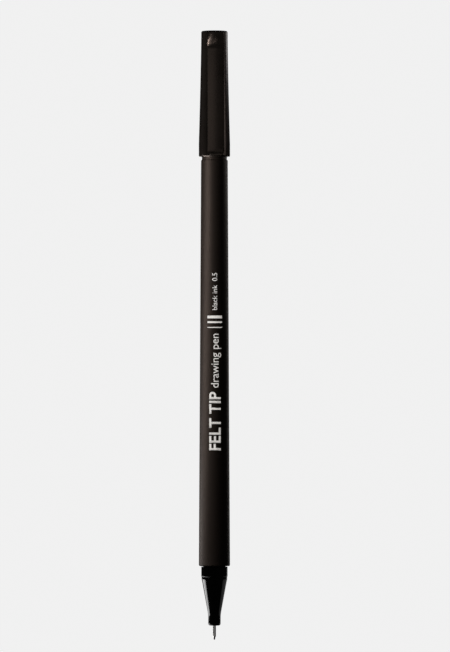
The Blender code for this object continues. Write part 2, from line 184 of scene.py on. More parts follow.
def noise(nodes, links, scale, detail=3, stretch=(1, 1, 1)):
    """A noise texture in the piece's own metres, stretched along its axes."""
    place = nodes.new("ShaderNodeTexCoord")
    mapping = nodes.new("ShaderNodeMapping")
    mapping.inputs["Scale"].default_value = stretch
    texture = nodes.new("ShaderNodeTexNoise")
    texture.inputs["Scale"].default_value = scale
    texture.inputs["Detail"].default_value = detail
    links.new(place.outputs["Object"], mapping.inputs["Vector"])
    links.new(mapping.outputs["Vector"], texture.inputs["Vector"])
    return texture.outputs["Fac"]


def spread(nodes, links, source, low, high, from_low=0.3, from_high=0.7):
    """Map a texture's value onto a range."""
    node = nodes.new("ShaderNodeMapRange")
    node.inputs["From Min"].default_value = from_low
    node.inputs["From Max"].default_value = from_high
    node.inputs["To Min"].default_value = low
    node.inputs["To Max"].default_value = high
    links.new(source, node.inputs["Value"])
    return node.outputs["Result"]


def two_tone(nodes, links, shader, source, first, second):
    """Colour a surface between two close tones by a texture's value."""
    mix = nodes.new("ShaderNodeMix")
    mix.data_type = "RGBA"
    mix.inputs["A"].default_value = (*first, 1)
    mix.inputs["B"].default_value = (*second, 1)
    links.new(source, mix.inputs["Factor"])
    links.new(mix.outputs["Result"], shader.inputs["Base Color"])


def bump(nodes, links, shader, source, depth, strength=1.0):
    """Raise a texture's value into relief of a depth in metres."""
    node = nodes.new("ShaderNodeBump")
    node.inputs["Distance"].default_value = depth
    node.inputs["Strength"].default_value = strength
    links.new(source, node.inputs["Height"])
    links.new(node.outputs["Normal"], shader.inputs["Normal"])


WARM = (1.0, 0.76, 0.64, 1.0)


def soft_touch():
    """Matt charcoal coating with a fine sprayed grain and a soft sheen."""
    made, nodes, links, shader = new_material("soft_touch_charcoal", (0.012, 0.009, 0.007), 0.56)
    grain = noise(nodes, links, 5200, detail=4)
    cloud = noise(nodes, links, 160, detail=2, stretch=(1, 0.35, 1))
    tone = spread(nodes, links, cloud, 0, 1)
    two_tone(nodes, links, shader, tone, (0.0105, 0.0075, 0.006), (0.014, 0.0105, 0.0085))
    links.new(spread(nodes, links, grain, 0.5, 0.62), shader.inputs["Roughness"])
    shader.inputs["Specular Tint"].default_value = WARM
    bump(nodes, links, shader, grain, 0.006 * MM)
    return made


def finish_piece(piece, material, body, node):
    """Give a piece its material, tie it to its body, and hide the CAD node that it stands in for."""
    piece.data.materials.clear()
    piece.data.materials.append(material)
    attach(piece, body)
    if node:
        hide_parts(node)


barrel = turned_piece(
    "barrel_tube",
    [
        (BARREL_FRONT_Y, BARREL_SOCKET_RADIUS, 0.1 * MM),
        (BARREL_FRONT_Y, BARREL_FRONT_RADIUS, 0.3 * MM),
        (BARREL_SHOULDER_Y, BARREL_REAR_RADIUS, 0.2 * MM),
        (BARREL_SHOULDER_Y, BARREL_NECK_RADIUS, 0),
        (BARREL_REAR_Y, BARREL_NECK_RADIUS, 0.15 * MM),
        (BARREL_REAR_Y, BARREL_BORE_RADIUS, 0.1 * MM),
        (BARREL_FRONT_Y + BARREL_SOCKET_DEPTH, BARREL_BORE_RADIUS, 0),
        (BARREL_FRONT_Y + BARREL_SOCKET_DEPTH, BARREL_SOCKET_RADIUS, 0),
    ],
    closed_tube=True,
)
soft_touch_charcoal = soft_touch()
finish_piece(barrel, soft_touch_charcoal, "pen", "barrel")

# ---------------------------------------------------------------------------------------------------------
# Print on the barrel: off-white ink, pad-printed along the top side and read from the nose to the cap.
# The words only say what kind of pen this is. The strokes beside them show rising line widths.
# ---------------------------------------------------------------------------------------------------------
PRINT_FILM = 0.008 * MM
PRINT_COLUMN = 0.12 * MM
PRINT_HALF_WIDTH = 3.2 * MM
WORDS = [  # name, words, start y, baseline x, letter size, stroke thickening
    ("print_bold_words", "FELT TIP", -33.3 * MM, 1.75 * MM, 4.6 * MM, 0.1 * MM),
    ("print_light_words", "drawing pen", -15.2 * MM, 1.2 * MM, 3.2 * MM, 0.0),
    ("print_small_words", "black ink  0.5", 7.2 * MM, 0.8 * MM, 2.05 * MM, 0.01 * MM),
]
STROKE_PLACE_X = 0.1 * MM
STROKE_PLACE_Y = 2.3 * MM
STROKE_PITCH = 1.5 * MM
STROKE_LENGTH = 4.2 * MM
STROKE_WIDTHS = (0.25 * MM, 0.5 * MM, 0.8 * MM)


def print_ink():
    """Off-white ink film, a little uneven where the barrel's grain shows through."""
    made, nodes, links, shader = new_material("print_ink", (0.55, 0.53, 0.5), 0.5)
    blotch = noise(nodes, links, 3500, detail=3)
    tone = spread(nodes, links, blotch, 0, 1)
    two_tone(nodes, links, shader, tone, (0.6, 0.57, 0.54), (0.78, 0.75, 0.71))
    bump(nodes, links, shader, blotch, 0.004 * MM)
    return made


def wrap_on_barrel(piece):
    """Cut a flat shape into columns along the pen, lay them on the barrel and thicken them outwards."""
    deselect_all()
    piece.select_set(True)
    bpy.context.view_layer.objects.active = piece
    bpy.ops.object.mode_set(mode="EDIT")
    columns = int(PRINT_HALF_WIDTH / PRINT_COLUMN)
    for column in range(-columns, columns + 1):
        bpy.ops.mesh.select_all(action="SELECT")
        bpy.ops.mesh.bisect(
            plane_co=(column * PRINT_COLUMN, 0, 0), plane_no=(1, 0, 0), threshold=0.0001 * MM
        )
    bpy.ops.object.mode_set(mode="OBJECT")
    wrap = piece.modifiers.new("wrap", "SHRINKWRAP")
    wrap.wrap_method = "PROJECT"
    wrap.use_project_z = True
    wrap.use_negative_direction = True
    wrap.use_positive_direction = False
    wrap.target = barrel
    wrap.offset = PRINT_FILM
    bpy.ops.object.modifier_apply(modifier=wrap.name)
    film = piece.modifiers.new("film", "SOLIDIFY")
    film.thickness = PRINT_FILM
    film.offset = 1
    bpy.ops.object.modifier_apply(modifier=film.name)


ink = print_ink()
for name, words, start_y, baseline_x, size, thickening in WORDS:
    deselect_all()
    bpy.ops.object.text_add(location=(0, 0, 0))
    text = bpy.context.object
    text.data.body = words
    text.data.size = size
    text.data.offset = thickening
    text.data.resolution_u = 6
    bpy.ops.object.convert(target="MESH")
    text = bpy.context.object
    text.name = name
    text.rotation_euler = (0, 0, math.pi / 2)
    text.location = (baseline_x, start_y, AXIS_Z + 2 * BARREL_FRONT_RADIUS)
    bpy.ops.object.transform_apply(location=True, rotation=True, scale=True)
    wrap_on_barrel(text)
    finish_piece(text, ink, "pen", None)

for index, width in enumerate(STROKE_WIDTHS):
    deselect_all()
    place = (STROKE_PLACE_X, STROKE_PLACE_Y + index * STROKE_PITCH, AXIS_Z + 2 * BARREL_FRONT_RADIUS)
    bpy.ops.mesh.primitive_plane_add(size=1, location=place)
    stroke = bpy.context.object
    stroke.name = f"print_stroke_{index + 1}"
    stroke.scale = (STROKE_LENGTH, width, 1)
    bpy.ops.object.transform_apply(location=True, rotation=True, scale=True)
    wrap_on_barrel(stroke)
    finish_piece(stroke, ink, "pen", None)

# ---------------------------------------------------------------------------------------------------------
# Barrel end plug: a hollow polypropylene plug, pressed into the rear of the barrel.
# Its flange is flush with the posting neck, with a moulding gate's dimple in the middle.
# ---------------------------------------------------------------------------------------------------------
PLUG_FRONT_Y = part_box("barrel_end_plug")[0].y
PLUG_REAR_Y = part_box("barrel_end_plug")[1].y
PLUG_FLANGE_THICKNESS = 1.2 * MM
PLUG_SPIGOT_RADIUS = 2.75 * MM
PLUG_BORE_RADIUS = 1.85 * MM
PLUG_DIMPLE_RADIUS = 0.7 * MM
PLUG_DIMPLE_DEPTH = 0.25 * MM


def satin_black(name, colour, lighter, roughness, grain_scale, grain_depth):
    """Moulded black plastic with a faint spark-eroded grain and slow changes of gloss."""
    made, nodes, links, shader = new_material(name, colour, roughness)
    shader.inputs["Specular Tint"].default_value = WARM
    grain = noise(nodes, links, grain_scale, detail=1)
    slow = noise(nodes, links, 220, detail=1)
    two_tone(nodes, links, shader, spread(nodes, links, slow, 0, 1), colour, lighter)
    links.new(spread(nodes, links, slow, roughness * 0.95, roughness * 1.06), shader.inputs["Roughness"])
    bump(nodes, links, shader, grain, grain_depth)
    return made


end_plug = turned_piece(
    "barrel_end_plug_moulding",
    [
        (BARREL_REAR_Y, PLUG_BORE_RADIUS, 0),
        (PLUG_FRONT_Y, PLUG_BORE_RADIUS, 0.1 * MM),
        (PLUG_FRONT_Y, PLUG_SPIGOT_RADIUS, 0.2 * MM),
        (PLUG_REAR_Y - PLUG_FLANGE_THICKNESS, PLUG_SPIGOT_RADIUS, 0),
        (PLUG_REAR_Y - PLUG_FLANGE_THICKNESS, BARREL_NECK_RADIUS, 0.08 * MM),
        (PLUG_REAR_Y, BARREL_NECK_RADIUS, 0.3 * MM),
        (PLUG_REAR_Y, PLUG_DIMPLE_RADIUS, 0.08 * MM),
        (PLUG_REAR_Y - PLUG_DIMPLE_DEPTH, PLUG_DIMPLE_RADIUS * 0.8, 0.05 * MM),
    ],
    closed_tube=False,
)
plug_black = satin_black(
    "end_plug_black", (0.018, 0.016, 0.0145), (0.026, 0.0235, 0.021), 0.42, 2600, 0.002 * MM
)
finish_piece(end_plug, plug_black, "pen", "barrel_end_plug")

# ---------------------------------------------------------------------------------------------------------
# Front section: one gloss-black moulding, with a nose, a straight cone, a bevelled shoulder and the
# neck that the closed cap grips. Its spigot is pushed into the barrel's socket.
# ---------------------------------------------------------------------------------------------------------
NOSE_FRONT_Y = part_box("front_section")[0].y
SECTION_REAR_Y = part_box("front_section")[1].y
NECK_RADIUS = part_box("front_section")[1].x
NOSE_RADIUS = 1.8 * MM
NOSE_LENGTH = 3.2 * MM
NOSE_HOLE_RADIUS = 0.62 * MM
NOSE_HOLE_LENGTH = 1.6 * MM
CONE_LENGTH = 9.3 * MM
SHOULDER_LENGTH = 1.6 * MM
SHOULDER_DROP = 0.20 * MM
NECK_STEP = 0.10 * MM
NECK_LENGTH = 2.9 * MM
HOLDER_BORE_RADIUS = 1.2 * MM
SPIGOT_RADIUS = 3.25 * MM
SPIGOT_BORE_RADIUS = 2.45 * MM
HOLDER_SEAT_DEPTH = 9.6 * MM


def gloss_black():
    """Polished black styrene: a mirror-like skin with faint flow waves and hairline rubs."""
    made, nodes, links, shader = new_material("section_gloss_black", (0.0035, 0.0034, 0.0034), 0.07)
    waves = noise(nodes, links, 260, detail=1, stretch=(1, 0.3, 1))
    rubs = noise(nodes, links, 2400, detail=3, stretch=(1, 0.05, 1))
    tone = spread(nodes, links, waves, 0, 1)
    two_tone(nodes, links, shader, tone, (0.003, 0.0029, 0.0029), (0.0048, 0.0046, 0.0045))
    links.new(spread(nodes, links, rubs, 0.05, 0.14, 0.45, 0.8), shader.inputs["Roughness"])
    bump(nodes, links, shader, waves, 0.006 * MM)
    return made


cone_front_y = NOSE_FRONT_Y + NOSE_LENGTH
shoulder_front_y = cone_front_y + CONE_LENGTH
neck_front_y = shoulder_front_y + SHOULDER_LENGTH
neck_rear_y = neck_front_y + NECK_LENGTH
section = turned_piece(
    "front_section_moulding",
    [
        (NOSE_FRONT_Y, NOSE_HOLE_RADIUS, 0.12 * MM),
        (NOSE_FRONT_Y, NOSE_RADIUS, 0.55 * MM),
        (cone_front_y, NOSE_RADIUS, 0.9 * MM),
        (shoulder_front_y, NECK_RADIUS - NECK_STEP - SHOULDER_DROP, 0.25 * MM),
        (shoulder_front_y + SHOULDER_LENGTH / 2, NECK_RADIUS - NECK_STEP, 0.2 * MM),
        (neck_front_y, NECK_RADIUS - NECK_STEP, 0.03 * MM),
        (neck_front_y + NECK_STEP, NECK_RADIUS, 0.08 * MM),
        (neck_rear_y, NECK_RADIUS, 0.15 * MM),
        (neck_rear_y, SPIGOT_RADIUS, 0),
        (SECTION_REAR_Y, SPIGOT_RADIUS, 0.1 * MM),
        (SECTION_REAR_Y, SPIGOT_BORE_RADIUS, 0),
        (NOSE_FRONT_Y + HOLDER_SEAT_DEPTH, SPIGOT_BORE_RADIUS, 0),
        (NOSE_FRONT_Y + HOLDER_SEAT_DEPTH, HOLDER_BORE_RADIUS, 0),
        (NOSE_FRONT_Y + NOSE_HOLE_LENGTH, HOLDER_BORE_RADIUS, 0),
        (NOSE_FRONT_Y + NOSE_HOLE_LENGTH, NOSE_HOLE_RADIUS, 0),
    ],
    closed_tube=True,
    soft_angle=30,
)
section_gloss_black = gloss_black()
finish_piece(section, section_gloss_black, "pen", "front_section")

# ---------------------------------------------------------------------------------------------------------
# Nib sleeve: a drawn stainless tube round the fibre, rolled in a little at its front end.
# The nib holder inside the nose grips its hidden rear half.
# ---------------------------------------------------------------------------------------------------------
SLEEVE_FRONT_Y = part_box("nib_sleeve")[0].y
SLEEVE_REAR_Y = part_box("nib_sleeve")[1].y
SLEEVE_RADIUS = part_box("nib_sleeve")[1].x
SLEEVE_BORE_RADIUS = 0.29 * MM
SLEEVE_ROLL_LENGTH = 0.35 * MM
SLEEVE_LIP_RADIUS = 0.345 * MM


def drawn_steel():
    """Stainless tube with fine draw lines along it."""
    made, nodes, links, shader = new_material("drawn_steel", (0.55, 0.54, 0.52), 0.25)
    shader.inputs["Metallic"].default_value = 1.0
    lines = noise(nodes, links, 9000, detail=2, stretch=(1, 0.03, 1))
    tone = spread(nodes, links, lines, 0, 1)
    two_tone(nodes, links, shader, tone, (0.5, 0.49, 0.47), (0.64, 0.63, 0.61))
    links.new(spread(nodes, links, lines, 0.24, 0.34), shader.inputs["Roughness"])
    bump(nodes, links, shader, lines, 0.0004 * MM)
    return made


sleeve = turned_piece(
    "nib_sleeve_tube",
    [
        (SLEEVE_FRONT_Y, SLEEVE_BORE_RADIUS, 0),
        (SLEEVE_FRONT_Y, SLEEVE_LIP_RADIUS, 0.03 * MM),
        (SLEEVE_FRONT_Y + SLEEVE_ROLL_LENGTH, SLEEVE_RADIUS, 0.15 * MM),
        (SLEEVE_REAR_Y, SLEEVE_RADIUS, 0),
        (SLEEVE_REAR_Y, SLEEVE_BORE_RADIUS, 0),
    ],
    closed_tube=True,
)
finish_piece(sleeve, drawn_steel(), "pen", "nib_sleeve")

# ---------------------------------------------------------------------------------------------------------
# Fibre nib: an extruded fibre rod soaked with black ink, worn to a dome where it writes.
# ---------------------------------------------------------------------------------------------------------
FIBRE_FRONT_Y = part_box("fibre_nib")[0].y
FIBRE_REAR_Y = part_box("fibre_nib")[1].y
FIBRE_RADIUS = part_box("fibre_nib")[1].x


def inked_fibre():
    """Ink-soaked fibre: dull black, with strands running along the rod."""
    made, nodes, links, shader = new_material("inked_fibre", (0.03, 0.03, 0.032), 0.7)
    strands = noise(nodes, links, 14000, detail=2, stretch=(1, 0.06, 1))
    tone = spread(nodes, links, strands, 0, 1)
    two_tone(nodes, links, shader, tone, (0.012, 0.012, 0.013), (0.05, 0.05, 0.054))
    bump(nodes, links, shader, strands, 0.01 * MM)
    return made


fibre = turned_piece(
    "fibre_nib_rod",
    [
        (FIBRE_FRONT_Y, FIBRE_RADIUS * 0.55, 0.06 * MM),
        (FIBRE_FRONT_Y + FIBRE_RADIUS * 0.9, FIBRE_RADIUS, 0.08 * MM),
        (FIBRE_REAR_Y, FIBRE_RADIUS, 0),
    ],
    closed_tube=False,
)
inked = inked_fibre()
finish_piece(fibre, inked, "pen", "fibre_nib")

# ---------------------------------------------------------------------------------------------------------
# Inside the barrel: the nib holder's bush, the wick, the ink reservoir and its film.
# They are closed in by the section and the plug, so their CAD solids stay and only get finishes.
# ---------------------------------------------------------------------------------------------------------


def inner_finish(name, first, second, roughness, scale, stretch, depth):
    """A plain inner material with its own grain."""
    made, nodes, links, shader = new_material(name, first, roughness)
    grain = noise(nodes, links, scale, detail=3, stretch=stretch)
    two_tone(nodes, links, shader, spread(nodes, links, grain, 0, 1), first, second)
    bump(nodes, links, shader, grain, depth)
    return made


INNER_FINISHES = {
    "nib_holder": inner_finish(
        "natural_acetal", (0.68, 0.67, 0.63), (0.76, 0.75, 0.71), 0.42, 900, (1, 1, 1), 0.01 * MM
    ),
    "feed_wick": inner_finish(
        "inked_felt", (0.02, 0.02, 0.022), (0.05, 0.05, 0.055), 0.9, 6000, (1, 0.1, 1), 0.05 * MM
    ),
    "ink_reservoir": inner_finish(
        "inked_polyester", (0.015, 0.015, 0.018), (0.045, 0.045, 0.05), 0.95, 4000, (1, 0.08, 1), 0.08 * MM
    ),
    "reservoir_wrap": inner_finish(
        "reservoir_film", (0.55, 0.57, 0.6), (0.66, 0.68, 0.71), 0.15, 500, (1, 0.4, 1), 0.01 * MM
    ),
}
for node, finish in INNER_FINISHES.items():
    inner = frame["nodes"][node]
    inner.data.materials.clear()
    inner.data.materials.append(finish)

# ---------------------------------------------------------------------------------------------------------
# Cap shell: a semi-gloss black moulding, flared towards its mouth, with a straight lip.
# A slot near its top takes the clip's lug. Its bore grips the posting neck.
# ---------------------------------------------------------------------------------------------------------
CAP_MOUTH_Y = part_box("cap_shell")[0].y
CAP_TOP_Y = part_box("cap_shell")[1].y
CAP_LENGTH = CAP_TOP_Y - CAP_MOUTH_Y
CAP_MOUTH_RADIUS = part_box("cap_shell")[1].x
CAP_TOP_RADIUS = 3.8 * MM
CAP_LIP_LENGTH = 3.8 * MM
CAP_FLARE_POWER = 1.35
CAP_FLARE_STEPS = 16
CAP_TOP_ROUNDING = 0.45 * MM
CAP_MOUTH_ROUNDING = 0.35 * MM
CAP_MOUTH_BORE_RADIUS = 3.9 * MM
CAP_POSTING_BORE_RADIUS = 3.7 * MM
CAP_POSTING_DEPTH = 13.1 * MM
CAP_LINER_BORE_RADIUS = 3.05 * MM
CROWN_BORE_RADIUS = 3.3 * MM
CROWN_SEAT_DEPTH = 1.65 * MM


def cap_radius(depth):
    """Outer radius of the cap at a depth from its mouth."""
    share = min(1.0, (CAP_LENGTH - depth) / (CAP_LENGTH - CAP_LIP_LENGTH))
    return CAP_TOP_RADIUS + (CAP_MOUTH_RADIUS - CAP_TOP_RADIUS) * share**CAP_FLARE_POWER


cap_rings = [
    (CAP_MOUTH_Y, CAP_MOUTH_BORE_RADIUS, 0.12 * MM),
    (CAP_MOUTH_Y, CAP_MOUTH_RADIUS, CAP_MOUTH_ROUNDING),
]
for step in range(CAP_FLARE_STEPS):
    depth = CAP_LIP_LENGTH + (CAP_LENGTH - CAP_LIP_LENGTH) * step / CAP_FLARE_STEPS
    cap_rings.append((CAP_MOUTH_Y + depth, cap_radius(depth), 0))
cap_rings += [
    (CAP_TOP_Y, CAP_TOP_RADIUS, CAP_TOP_ROUNDING),
    (CAP_TOP_Y, CROWN_BORE_RADIUS, 0.04 * MM),
    (CAP_TOP_Y - CROWN_SEAT_DEPTH, CROWN_BORE_RADIUS, 0),
    (CAP_TOP_Y - CROWN_SEAT_DEPTH, CAP_LINER_BORE_RADIUS, 0),
    (CAP_MOUTH_Y + CAP_POSTING_DEPTH, CAP_LINER_BORE_RADIUS, 0),
    (CAP_MOUTH_Y + CAP_POSTING_DEPTH, CAP_POSTING_BORE_RADIUS, 0),
]
cap_shell = turned_piece("cap_shell_moulding", cap_rings, closed_tube=True)
cap_black = satin_black(
    "cap_black", (0.0095, 0.0075, 0.0062), (0.014, 0.0112, 0.0095), 0.28, 4200, 0.0005 * MM
)

# ---------------------------------------------------------------------------------------------------------
# Clip: a springy strip of the same black plastic, standing off the cap, with a rounded free end.
# A rib under the free end grips the pocket. Its root fits the cap's round side, with a lug in the cap's
# slot, which is cut here to the lug's size.
# ---------------------------------------------------------------------------------------------------------
CLIP_TURN = math.radians(4.0)
CLIP_WIDTH = 4.8 * MM
CLIP_COLUMNS = 12
CLIP_THICKNESS = 1.0 * MM
CLIP_STANDOFF = 0.9 * MM
CLIP_END_DEPTH = 0.3 * MM
CLIP_TOP_DEPTH = CAP_LENGTH - 0.4 * MM
CLIP_RAMP_FOOT = CLIP_TOP_DEPTH - 4.3 * MM
CLIP_HINGE_DEPTH = CLIP_TOP_DEPTH - 2.15 * MM
CLIP_CROWN = 0.06 * MM
CLIP_ROOT_CROWN = 0.5 * MM
CLIP_RAMP = [  # share of the way from the ramp's foot to the cap's top, share of the ramp's height
    (0.0, 1.0),
    (0.12, 0.978),
    (0.3, 0.875),
    (0.45, 0.735),
    (0.6, 0.555),
    (0.8, 0.29),
    (1.0, 0.0),
]
CLIP_CROWN_START = 2.0 * MM
CLIP_RIB_GAP = 0.32 * MM
CLIP_ROOT_GAP = 0.2 * MM
CLIP_ROOT_OVERLAP = 1.2 * MM
CLIP_LUG_SIZE = (2.6 * MM, 2.0 * MM, 1.2 * MM)
CLIP_SLOT_GAP = 0.3 * MM
CLIP_EDGE_ROUNDING = 0.3 * MM


def clip_top(depth):
    """Height of the clip's outer face above the pen's axis."""
    end = CAP_MOUTH_RADIUS + CLIP_STANDOFF + CLIP_THICKNESS
    root = cap_radius(CLIP_RAMP_FOOT) + CLIP_STANDOFF + CLIP_THICKNESS
    share = (depth - CLIP_END_DEPTH) / (CLIP_RAMP_FOOT - CLIP_END_DEPTH)
    return end + (root - end) * share


def clip_sections():
    """Cross-sections from the free end to the root: depth, width, lowest and highest point over the axis."""
    rib_low = CAP_MOUTH_RADIUS + CLIP_RIB_GAP
    end_top = clip_top(CLIP_END_DEPTH)
    sections = [
        (0.30, 2.3, rib_low + 0.55 * MM, end_top - 0.62 * MM),
        (0.38, 3.0, rib_low + 0.32 * MM, end_top - 0.42 * MM),
        (0.55, 3.65, rib_low + 0.12 * MM, end_top - 0.22 * MM),
        (0.80, 4.2, rib_low + 0.02 * MM, end_top - 0.08 * MM),
        (1.10, 4.55, rib_low, end_top - 0.02 * MM),
        (1.40, 4.73, rib_low + 0.07 * MM, clip_top(1.4 * MM)),
        (1.70, 4.8, rib_low + 0.26 * MM, clip_top(1.7 * MM)),
        (2.10, 4.8, rib_low + 0.5 * MM, clip_top(2.1 * MM)),
        (2.60, 4.8, clip_top(2.6 * MM) - CLIP_THICKNESS, clip_top(2.6 * MM)),
    ]
    made = [(depth * MM, width * MM, low, high) for depth, width, low, high in sections]
    under_root = CLIP_RAMP_FOOT - 1.4 * MM
    for depth in (10 * MM, 18 * MM, 25 * MM, under_root):
        made.append((depth, CLIP_WIDTH, clip_top(depth) - CLIP_THICKNESS, clip_top(depth)))
    inside_cap = cap_radius(CLIP_RAMP_FOOT) - CLIP_ROOT_OVERLAP
    root_top = clip_top(under_root)
    made.append((under_root + 0.55 * MM, CLIP_WIDTH, root_top - CLIP_THICKNESS * 1.25, root_top))
    made.append((under_root + 0.85 * MM, CLIP_WIDTH, inside_cap, root_top))
    top_start = cap_radius(CLIP_TOP_DEPTH) + 0.45 * MM
    for along, share in CLIP_RAMP:
        depth = CLIP_RAMP_FOOT + (CLIP_TOP_DEPTH - CLIP_RAMP_FOOT) * along
        ramp_top = top_start + (clip_top(CLIP_RAMP_FOOT) - top_start) * share
        made.append((depth, CLIP_WIDTH, inside_cap, ramp_top))
    return made


def extruded_clip(name):
    """Extrude a crowned cross-section from the free end to the root, reshaping it at each section."""
    deselect_all()
    depth, width, low, high = clip_sections()[0]
    bpy.ops.mesh.primitive_grid_add(
        x_subdivisions=CLIP_COLUMNS,
        y_subdivisions=1,
        size=1,
        location=(0, CAP_MOUTH_Y + depth, AXIS_Z + (low + high) / 2),
        rotation=(math.pi / 2, 0, 0),
    )
    clip = bpy.context.object
    clip.name = name
    clip.scale = (width, high - low, 1)
    bpy.ops.object.transform_apply(location=True, rotation=True, scale=True)
    bpy.ops.object.mode_set(mode="EDIT")
    bpy.ops.mesh.select_mode(type="FACE")
    bpy.ops.mesh.select_all(action="SELECT")
    old = (depth, width, low, high)
    for new in clip_sections()[1:]:
        bpy.ops.mesh.extrude_region_move(TRANSFORM_OT_translate={"value": (0, new[0] - old[0], 0)})
        middle = (0, CAP_MOUTH_Y + new[0], AXIS_Z + (old[2] + old[3]) / 2)
        ratio = (new[1] / old[1], 1, (new[3] - new[2]) / (old[3] - old[2]))
        bpy.ops.transform.resize(value=ratio, center_override=middle)
        bpy.ops.transform.translate(value=(0, 0, (new[2] + new[3] - old[2] - old[3]) / 2))
        old = new
    bpy.ops.mesh.select_all(action="SELECT")
    bpy.ops.mesh.normals_make_consistent(inside=False)
    mesh = bmesh.from_edit_mesh(clip.data)
    mesh.faces.ensure_lookup_table()
    bpy.ops.mesh.select_mode(type="VERT")
    crown_steps = [(CLIP_CROWN_START, CLIP_CROWN)]
    for (before, _), (along, _) in zip(CLIP_RAMP, CLIP_RAMP[1:]):
        middle = CLIP_RAMP_FOOT + (CLIP_TOP_DEPTH - CLIP_RAMP_FOOT) * (before + along) / 2
        crown_steps.append((middle, CLIP_ROOT_CROWN * (along - before)))
    for column in range(CLIP_COLUMNS // 2 + 1):
        across = 2 * column / CLIP_COLUMNS
        for start_depth, drop in crown_steps:
            bpy.ops.mesh.select_all(action="DESELECT")
            for vert in mesh.verts:
                off_column = abs(abs(vert.co.x) - across * CLIP_WIDTH / 2)
                in_column = off_column < CLIP_WIDTH / CLIP_COLUMNS / 4
                on_top = any(face.normal.z > 0.3 for face in vert.link_faces)
                vert.select_set(in_column and on_top and vert.co.y > CAP_MOUTH_Y + start_depth)
            mesh.select_flush_mode()
            bmesh.update_edit_mesh(clip.data)
            bpy.ops.transform.translate(value=(0, 0, -drop * across**2))
    bpy.ops.object.mode_set(mode="OBJECT")
    return clip


def apply_boolean(piece, tool, operation):
    """Cut or join a piece by a tool, and remove the tool."""
    modifier = piece.modifiers.new("cut", "BOOLEAN")
    modifier.operation = operation
    modifier.solver = "EXACT"
    modifier.object = tool
    deselect_all()
    piece.select_set(True)
    bpy.context.view_layer.objects.active = piece
    bpy.ops.object.modifier_apply(modifier=modifier.name)
    bpy.data.objects.remove(tool)


clip = extruded_clip("clip_strip")
saddle_y = CAP_MOUTH_Y + CLIP_RAMP_FOOT - 4 * MM
saddle = turned_piece(
    "saddle_tool",
    [
        (saddle_y, cap_radius(saddle_y - CAP_MOUTH_Y) + CLIP_ROOT_GAP, 0),
        (CAP_TOP_Y + MM, CAP_TOP_RADIUS + CLIP_ROOT_GAP, 0),
    ],
    closed_tube=False,
)
apply_boolean(clip, saddle, "DIFFERENCE")
lug_place = (0, CAP_MOUTH_Y + CLIP_HINGE_DEPTH, AXIS_Z + cap_radius(CLIP_HINGE_DEPTH) + 0.1 * MM)
deselect_all()
bpy.ops.mesh.primitive_cube_add(size=1, location=lug_place, scale=CLIP_LUG_SIZE)
apply_boolean(clip, bpy.context.object, "UNION")
deselect_all()
slot_size = [side + 2 * CLIP_SLOT_GAP for side in CLIP_LUG_SIZE]
bpy.ops.mesh.primitive_cube_add(size=1, location=lug_place, scale=slot_size)
slot_tool = bpy.context.object
for piece in (clip, slot_tool):
    deselect_all()
    piece.select_set(True)
    bpy.context.view_layer.objects.active = piece
    bpy.ops.object.transform_apply(location=True, rotation=True, scale=True)
    bpy.ops.object.mode_set(mode="EDIT")
    bpy.ops.mesh.select_all(action="SELECT")
    bpy.ops.transform.rotate(value=-CLIP_TURN, orient_axis="Y", center_override=(0, 0, AXIS_Z))
    bpy.ops.object.mode_set(mode="OBJECT")
apply_boolean(cap_shell, slot_tool, "DIFFERENCE")
bevel = clip.modifiers.new("edges", "BEVEL")
bevel.width = CLIP_EDGE_ROUNDING
bevel.segments = 4
bevel.limit_method = "ANGLE"
bevel.angle_limit = math.radians(50)
deselect_all()
clip.select_set(True)
bpy.context.view_layer.objects.active = clip
bpy.ops.object.modifier_apply(modifier=bevel.name)
bpy.ops.object.shade_smooth_by_angle(angle=math.radians(40))
clip_black = satin_black(
    "clip_black", (0.0105, 0.0085, 0.007), (0.016, 0.013, 0.011), 0.17, 4200, 0.0004 * MM
)
finish_piece(cap_shell, cap_black, "cap", "cap_shell")
finish_piece(clip, clip_black, "clip", "cap_clip")

# ---------------------------------------------------------------------------------------------------------
# Inner cap: a soft liner pressed into the cap, with a funnel and a seat that close round the nose.
# ---------------------------------------------------------------------------------------------------------
LINER_FRONT_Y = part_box("inner_cap")[0].y
LINER_REAR_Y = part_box("inner_cap")[1].y
LINER_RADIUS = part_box("inner_cap")[1].x
LINER_SEAT_RADIUS = 1.9 * MM
LINER_SEAT_DEPTH = 3.9 * MM
LINER_FUNNEL_LENGTH = 1.0 * MM
LINER_FUNNEL_FLARE = 0.5 * MM
LINER_CHAMBER_RADIUS = 1.3 * MM
LINER_END_THICKNESS = 1.2 * MM
liner = turned_piece(
    "inner_cap_liner",
    [
        (LINER_REAR_Y - LINER_END_THICKNESS, LINER_CHAMBER_RADIUS, 0.2 * MM),
        (LINER_FRONT_Y + LINER_SEAT_DEPTH, LINER_CHAMBER_RADIUS, 0),
        (LINER_FRONT_Y + LINER_SEAT_DEPTH, LINER_SEAT_RADIUS, 0.1 * MM),
        (LINER_FRONT_Y + LINER_FUNNEL_LENGTH, LINER_SEAT_RADIUS, 0.15 * MM),
        (LINER_FRONT_Y, LINER_SEAT_RADIUS + LINER_FUNNEL_FLARE, 0.08 * MM),
        (LINER_FRONT_Y, LINER_RADIUS, 0.15 * MM),
        (LINER_REAR_Y, LINER_RADIUS, 0.15 * MM),
    ],
    closed_tube=False,
)
liner_black = satin_black(
    "liner_black", (0.022, 0.021, 0.02), (0.034, 0.032, 0.03), 0.5, 1800, 0.003 * MM
)
finish_piece(liner, liner_black, "cap", "inner_cap")

